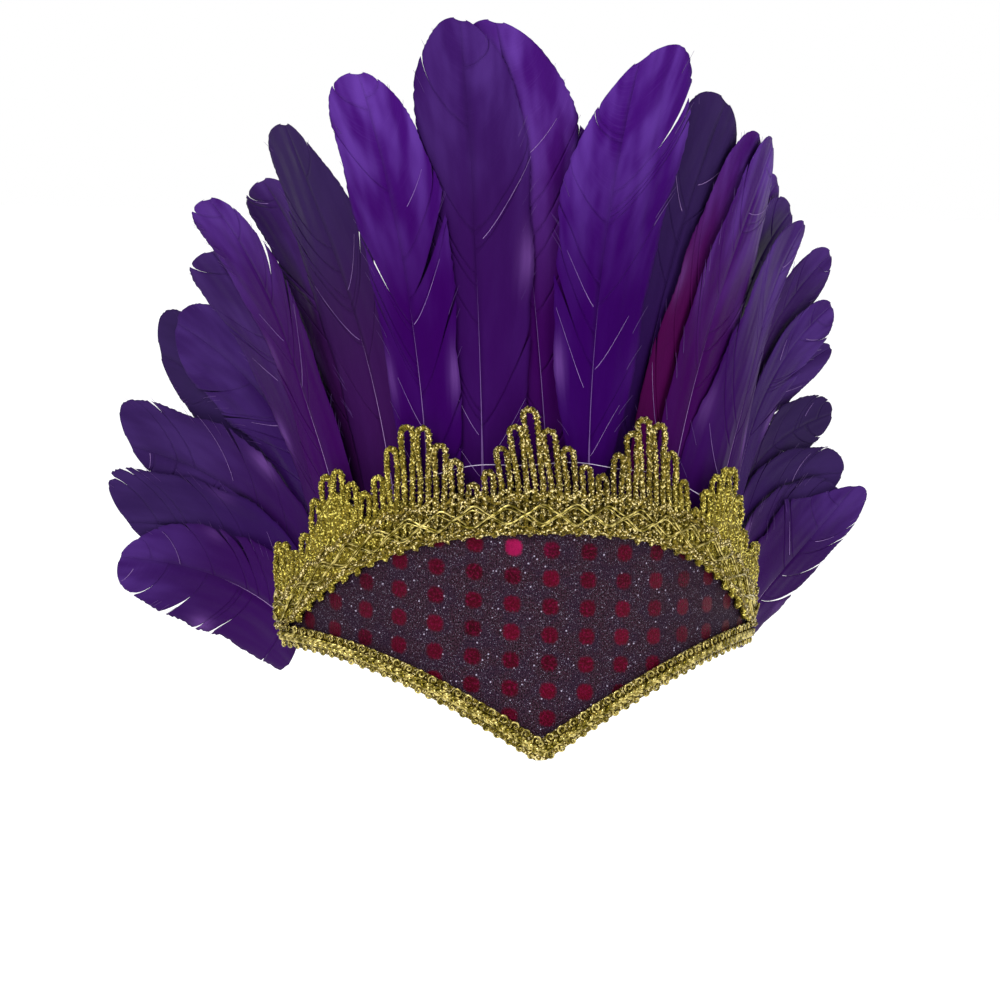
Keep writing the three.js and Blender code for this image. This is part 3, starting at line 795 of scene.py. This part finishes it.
def on_feather(feather, share, across, depth):
    """Places a share of the way up a feather, across it and in front of its middle."""
    fine = np.linspace(0, 1, 97)
    middles = (fine[1:] + fine[:-1]) / 2
    leans = np.radians(feather["root"] + (feather["tip"] - feather["root"]) * middles)
    step = feather["length"] * FEATHER_LENGTH / len(middles)
    start = feather["seat"] * QUILL_LIMIT
    line_along = start + np.concatenate([[0], np.cumsum(np.sin(leans)) * step])
    line_height = quill_height(start) + np.concatenate([[0], np.cumsum(np.cos(leans)) * step])
    lean = np.radians(feather["root"] + (feather["tip"] - feather["root"]) * share)
    ahead = -feather["slant"] * across * share ** 4
    along = np.interp(share, fine, line_along) + across * np.cos(lean) + ahead * np.sin(lean)
    height = np.interp(share, fine, line_height) - across * np.sin(lean) + ahead * np.cos(lean)
    seat_face = -PANEL_THICKNESS - SEAT_GAP - SHAFT_THICKNESS / 2
    return bend(along, height, seat_face - layer_depth(along, height, feather["layer"]) + depth)


def vane_edge(feather, share, side):
    """How far the vane reaches from the shaft's middle, on one side."""
    half = np.interp(share / feather["foot"], *zip(*VANE_PROFILE)) * FEATHER_WIDTH * feather["width"]
    half = half * (1 + feather["taper"] * (0.5 - share))
    closing = np.clip((share - TIP_START) / (1 - TIP_START), 0, 1)
    blunt = feather["blunt_left"] if side < 0 else feather["blunt_right"]
    half = half * np.sqrt(1 - closing ** blunt)
    return 2 * half * (feather["left"] if side < 0 else 1 - feather["left"])


def barb_share(barb, out):
    """How far up the shaft a barb has come, out of its way across the vane."""
    return barb + BARB_SWEEP * smooth_step(barb, -0.05, 0.35) * (1 - barb ** 4) * out ** 1.4


def vane_lift(reach, twist):
    """How far in front of the shaft's middle a vane lies, out from the shaft."""
    return -VANE_CUP * (reach / CUP_WIDTH) ** 2 + twist * reach / CUP_WIDTH


def vane_finish():
    vane = Finish("dyed_vane", specular_ior_level=0.02, specular_tint=(0.75, 0.45, 1.0, 1.0))
    on_vane = vane.mark("barbs", "Vector")
    fine = vane.noise(vane.scaled(on_vane, 2.2, 0.06, 1), 1, 3, 0.7)
    coarse = vane.between(vane.noise(vane.scaled(on_vane, 0.03, 0.09, 1), 1, 2), 0.35, 0.68)
    folds = vane.noise(vane.scaled(on_vane, 0.018, 0.12, 1), 1, 1)
    colour = vane.blend(coarse, (0.038, 0.0035, 0.118), (0.090, 0.030, 0.245))
    colour = vane.blend(vane.between(fine, 0.5, 0.8) * 0.3, colour, (0.125, 0.045, 0.28))
    # Painted shade: the vane is painted a deeper violet low down the feather, where the fan is crowded.
    colour = vane.blend(vane.mark("low") * (1.0 - coarse * 0.05), colour, (0.021, 0.0002, 0.066))
    colour = vane.blend(vane.mark("plum") * 0.85, colour, (0.062, 0.0015, 0.026))
    colour = vane.blend(vane.mark("ink") * 0.9, colour, (0.019, 0.0105, 0.045))
    # Painted sheen: a pale satin highlight is painted across some feathers.
    colour = vane.blend(vane.mark("painted_satin_sheen") * 0.5, colour, (0.17, 0.07, 0.30))
    return vane.show(
        base_color=colour,
        roughness=0.36 + coarse * 0.22,
        normal=vane.bump(fine * 0.12 + folds * 3.0, 0.0009, 0.8),
    )


def quill_finish():
    quill = Finish("dyed_quill", roughness=0.4, specular_ior_level=0.3)
    tone = quill.noise(quill.own_place(), 260)
    colour = quill.blend(tone, (0.036, 0.008, 0.10), (0.10, 0.036, 0.19))
    return quill.show(base_color=quill.blend(quill.mark("pale"), colour, (0.34, 0.20, 0.44)))


def pale_barb_finish():
    pale = Finish("pale_barb", roughness=0.5, specular_ior_level=0.3)
    tone = pale.noise(pale.own_place(), 120)
    return pale.show(base_color=pale.blend(tone, (0.12, 0.04, 0.28), (0.45, 0.28, 0.58)))


feather_finishes = [vane_finish(), quill_finish(), pale_barb_finish()]
partings_table = table(PARTINGS_TABLE)
across_steps = np.array([0, 0.14, 0.3, 0.46, 0.6, 0.72, 0.83, 0.92, 1.0])
for number, feather in enumerate(table(FEATHER_TABLE), 1):
    chance = np.random.default_rng(100 + number)
    shape = Shape()
    twist = chance.uniform(-0.35, 0.35)
    dye_shift = chance.uniform(-6, 6, 3)[0]
    # How much higher or lower the painted shade low on the vane reaches on this feather.
    painted_shade_shift = 0.08 * math.sin(2.1 * number + 2)
    length = feather["length"] * FEATHER_LENGTH
    for side in (-1, 1):
        partings = [
            (row["at"], row["start"], row["gap"])
            for row in partings_table
            if row["feather"] == number and row["side"] == side
        ]
        partings += [
            (chance.uniform(0.15, 0.95), chance.uniform(0.8, 0.94), chance.uniform(0.6, 1.8))
            for _ in range(5)
        ]
        partings.sort()
        ends = [FIRST_BARB, *(at for at, _, _ in partings), LAST_BARB]
        ragged = chance.uniform(0, 1, STEPS_RAGGED)
        waves = chance.uniform(0, 2 * np.pi, 2)
        for group, (low, high) in enumerate(zip(ends[:-1], ends[1:])):
            if high - low < LEAST_GROUP:
                continue
            rows = max(3, round(BARB_ROWS * (high - low)))
            barb = np.linspace(low, high, rows)[:, None]
            out = np.broadcast_to(across_steps[None, :], (rows, len(across_steps))).copy()
            share = barb_share(barb, out)
            for index, pull in ((group - 1, 1), (group, -1)):
                if 0 <= index < len(partings):
                    at, start, gap = partings[index]
                    opened = np.clip((out - start) / (1 - start), 0, 1) ** 1.3
                    near = np.exp(-((barb - at) / PARTING_REACH) ** 2)
                    share = share + pull * opened * near * gap / 2 / length
            share = np.clip(share, 0, 1)
            notch = np.interp(barb, np.linspace(0, 1, STEPS_RAGGED), ragged)
            notch = 1 - VANE_RAGGED * notch * out ** 4
            wave = 0.04 * np.sin(14 * share + waves[0]) + 0.025 * np.sin(33 * share + waves[1])
            stepped = 1 + (wave + chance.uniform(-0.05, 0.02)) * smooth_step(share, 0.25, 0.5) * out ** 2
            reach = vane_edge(feather, share, side) * out * notch * stepped
            lift = vane_lift(reach, twist * side) + chance.uniform(-0.16, 0.16) * out
            half = VANE_THICKNESS / 2 * (1.3 - 0.6 * out)
            marks = dict(
                barbs=np.stack([
                    barb * length + 40 * number + 0 * out,
                    side * reach + dye_shift,
                    0 * out + number,
                ], -1),
                # painted shade low down the feather
                low=(1 - smooth_step(share + painted_shade_shift, 0.5, 1.0))[..., None],
                ink=feather["ink"] * (0.35 + 0.65 * smooth_step(share, 0.3, 0.9))[..., None],
                plum=feather["plum"] * (1 - 0.8 * smooth_step(share, 0.55, 1))[..., None],
                # painted satin highlight near the vane's edge, about halfway up
                painted_satin_sheen=(
                    np.exp(-((share - 0.52 - 0.12 * np.sin(number)) / 0.045) ** 2)
                    * np.exp(-((out - 0.88) / 0.13) ** 2)
                    * (0.5 + 0.5 * np.sin(number * 2.4 + side))
                )[..., None],
            )
            shape.sheet(
                on_feather(feather, share, side * reach, lift + half),
                on_feather(feather, share, side * reach, lift - half),
                **marks,
            )
        # Single barbs that have come away from the edge, and pale ones lying on the vane.
        pale_barbs = 2 if feather["length"] > LONG_FEATHER else 1
        for kind, count in ((QUILL, LOOSE_BARBS), (PALE, pale_barbs)):
            for _ in range(count):
                barb = chance.uniform(0.12, 0.94)
                if kind == QUILL:
                    out = np.linspace(0.8, 1, 6)
                else:
                    out = np.linspace(chance.uniform(0, 0.3), chance.uniform(0.6, 1), 10)
                share = np.clip(barb_share(barb, out), 0, 1)
                stray = chance.uniform(0.3, 1.6) * np.clip((out - 0.8) / 0.2, 0, 1) ** 2
                stray = stray if kind == QUILL else 0 * out
                reach = vane_edge(feather, share, side) * out + stray
                lift = vane_lift(reach, twist * side) + (0.3 if kind == PALE else 0.1)
                line = on_feather(feather, share, side * reach, lift)
                outward = np.tile([0.0, -1.0, 0.1], (len(line), 1))
                radius = np.linspace(0.13, 0.05, len(line))
                shape.tube(line, outward, radius, sides=3, kind=kind)
    share = np.concatenate([np.linspace(0, 0.9, 46), np.linspace(0.915, 0.985, 6)])
    line = on_feather(feather, share, 0 * share, 0 * share)
    outward = on_feather(feather, share, 0 * share, 0 * share + 1) - line
    width = np.interp(share, [0, 0.1, 0.25, 0.6, 1], [1.2, 0.95, 0.38, 0.30, 0.1])
    pale = 0.15 + 0.5 * smooth_step(abs(feather["seat"]), 0.3, 0.6)
    pale = pale * (1 - smooth_step(share, 0.45, 0.85))
    shape.tube(line, outward, width, sides=8, flat=SHAFT_FLAT, kind=QUILL, pale=pale)
    made = shape.piece(f"feather_{number:02d}_vanes", feather_finishes)
    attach(made, "root")
    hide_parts(f"feather_{number:02d}")


# Quill felt
# A strip of dark wool felt glued over the quill ends at the back, so that they can't
# scratch or pull out.
FELT_WIDTH = 15
FELT_THICKNESS = 1.5
FELT_INSET = 1.5
QUILL_MARGIN = 2

felt = Finish("wool_felt", roughness=0.95, sheen_weight=0.4, sheen_roughness=0.6)
felt_place = felt.own_place()
fibres = felt.noise(felt_place, 900, 4, 0.75)
matting = felt.noise(felt_place, 90, 3)
felt_colour = felt.blend(fibres, (0.008, 0.005, 0.014), (0.045, 0.030, 0.070))
felt.show(
    base_color=felt.blend(matting * 0.4, felt_colour, (0.030, 0.018, 0.050)),
    normal=felt.bump(fibres + matting, 0.0005, 0.8),
)
felt_end = QUILL_LIMIT + QUILL_MARGIN
felt_along = np.linspace(-felt_end, felt_end, 150)[:, None]
felt_share = np.array([0, 0.02, 0.07, 0.2, 0.35, 0.5, 0.65, 0.8, 0.93, 0.98, 1])[None, :]
felt_low = np.maximum(quill_height(felt_along) - FELT_WIDTH / 2, lower_edge(felt_along) + FELT_INSET)
felt_up = quill_height(felt_along) + FELT_WIDTH / 2
felt_height = felt_low + (felt_up - felt_low) * felt_share
felt_soft = 0.45 * np.clip(1 - np.minimum(felt_share, 1 - felt_share) / 0.07, 0, 1) ** 2
felt_outer = -PANEL_THICKNESS - 2 * SEAT_GAP - SHAFT_THICKNESS
felt_shape = Shape()
felt_shape.sheet(
    bend(felt_along, felt_height, felt_outer - felt_soft),
    bend(felt_along, felt_height, felt_outer - FELT_THICKNESS + felt_soft),
)
felt_strip = felt_shape.piece("felt_strip", [felt.material])
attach(felt_strip, "root")
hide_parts("quill_felt")


# Back strap
# Black ribbed elastic, its ends sewn flat on the felt at the corners, that holds the
# headdress round the back of the head.
STRAP_WIDTH = 14
STRAP_THICKNESS = 1.4
STRAP_RAISE = 12
STRAP_REACH = 80
STRAP_TAB = 16
STRAP_RIBS = 7
RIB_DEPTH = 0.24

elastic = Finish("ribbed_elastic", roughness=0.8, sheen_weight=0.3)
elastic_place = elastic.own_place()
weave_tone = elastic.noise(elastic_place, 1100, 3)
elastic_lift = elastic.part(elastic_place, 2)
rib_lines = (elastic_lift * (2 * math.pi * STRAP_RIBS / (STRAP_WIDTH * MM))).maths("SINE")
elastic.show(
    base_color=elastic.blend(weave_tone, (0.006, 0.005, 0.009), (0.030, 0.026, 0.040)),
    normal=elastic.bump(weave_tone + rib_lines * 0.3, 0.0002, 0.8),
)
strap_face = -PANEL_THICKNESS - 3 * SEAT_GAP - SHAFT_THICKNESS - FELT_THICKNESS
strap_end = QUILL_LIMIT - QUILL_MARGIN
tab = bend(np.linspace(strap_end - STRAP_TAB, strap_end, 8), 0.0, strap_face - STRAP_THICKNESS / 2)
corner = tab[-1]
round_head = np.linspace(0, np.pi, 90)[1:-1]
loop = np.stack([
    corner[0] * np.cos(round_head),
    corner[1] + (STRAP_REACH - corner[1]) * np.sin(round_head),
    0 * round_head,
], -1)
strap_line = np.concatenate([tab, loop, tab[::-1] * [-1, 1, 1]])
strap_run = np.gradient(strap_line, axis=0)
strap_run /= np.linalg.norm(strap_run, axis=1)[:, None]
strap_out = np.stack([strap_run[:, 1], -strap_run[:, 0], 0 * strap_run[:, 0]], -1)
strap_up = np.linspace(-0.5, 0.5, 4 * STRAP_RIBS + 1)[None, :]
ribbed = STRAP_THICKNESS / 2 - RIB_DEPTH / 2 * (1 - np.cos(2 * np.pi * STRAP_RIBS * strap_up))
strap_level = STRAP_RAISE + STRAP_WIDTH * strap_up
strap_shape = Shape()
faces_of_strap = [
    strap_line[:, None, :] + strap_out[:, None, :] * (way * ribbed)[..., None]
    + np.array([0, 0, 1]) * strap_level[..., None]
    for way in (1, -1)
]
strap_shape.sheet(*faces_of_strap)
strap = strap_shape.piece("elastic_strap", [elastic.material])
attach(strap, "root")
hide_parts("back_strap")


# Floor and light
# A plain pale floor far below, as if the headdress were held at head height, and large
# soft lights in front of it on both sides and above it.
FLOOR_LEVEL = -420
FLOOR_REACH = 9000
LIGHTS_AIM = Vector((0, 0, 90))

floor_finish = Finish(
    "pale_floor",
    roughness=0.9,
    emission_color=(1.0, 1.0, 1.0, 1.0),
    emission_strength=0.35,
)
floor_tone = floor_finish.noise(floor_finish.own_place(), 3)
floor_finish.show(base_color=floor_finish.blend(floor_tone, (0.97, 0.97, 0.97), (0.99, 0.99, 0.99)))
floor_mesh = bpy.data.meshes.new("floor")
corners = ((-1, -1), (1, -1), (1, 1), (-1, 1))
floor_points = [Vector((x * FLOOR_REACH, y * FLOOR_REACH, FLOOR_LEVEL)) * MM for x, y in corners]
floor_mesh.from_pydata(floor_points, [], [(0, 1, 2, 3)])
floor_mesh.materials.append(floor_finish.material)
floor = bpy.data.objects.new("floor", floor_mesh)
bpy.context.scene.collection.objects.link(floor)

# Where each light hangs, the side of its square and its power in watts.
for name, place, side, power in (
    ("key_light", (-900, -1500, 1300), 900, 30),
    ("fill_light", (1300, -1200, 700), 1100, 10),
    ("top_light", (0, 300, 1700), 1400, 9),
):
    lamp = bpy.data.lights.new(name, "AREA")
    lamp.shape = "SQUARE"
    lamp.size = side * MM
    lamp.energy = power
    light = bpy.data.objects.new(name, lamp)
    light.location = Vector(place) * MM
    light.rotation_euler = (Vector(place) - LIGHTS_AIM).to_track_quat("Z", "Y").to_euler()
    bpy.context.scene.collection.objects.link(light)

# The room is white behind the headdress and greyer in front of it, where the lamps are.
room = bpy.data.worlds.new("room")
room.use_nodes = True
sky = Nodes(room.node_tree)
behind = sky.part(sky.own_place("Generated"), 1)
sky_colour = sky.blend(sky.between(behind, -0.3, 0.2), (0.42, 0.42, 0.42), (1.0, 1.0, 1.0))
sky.feed(room.node_tree.nodes["Background"].inputs["Color"], sky_colour)
bpy.context.scene.world = room
bpy.context.scene.view_settings.view_transform = "Standard"
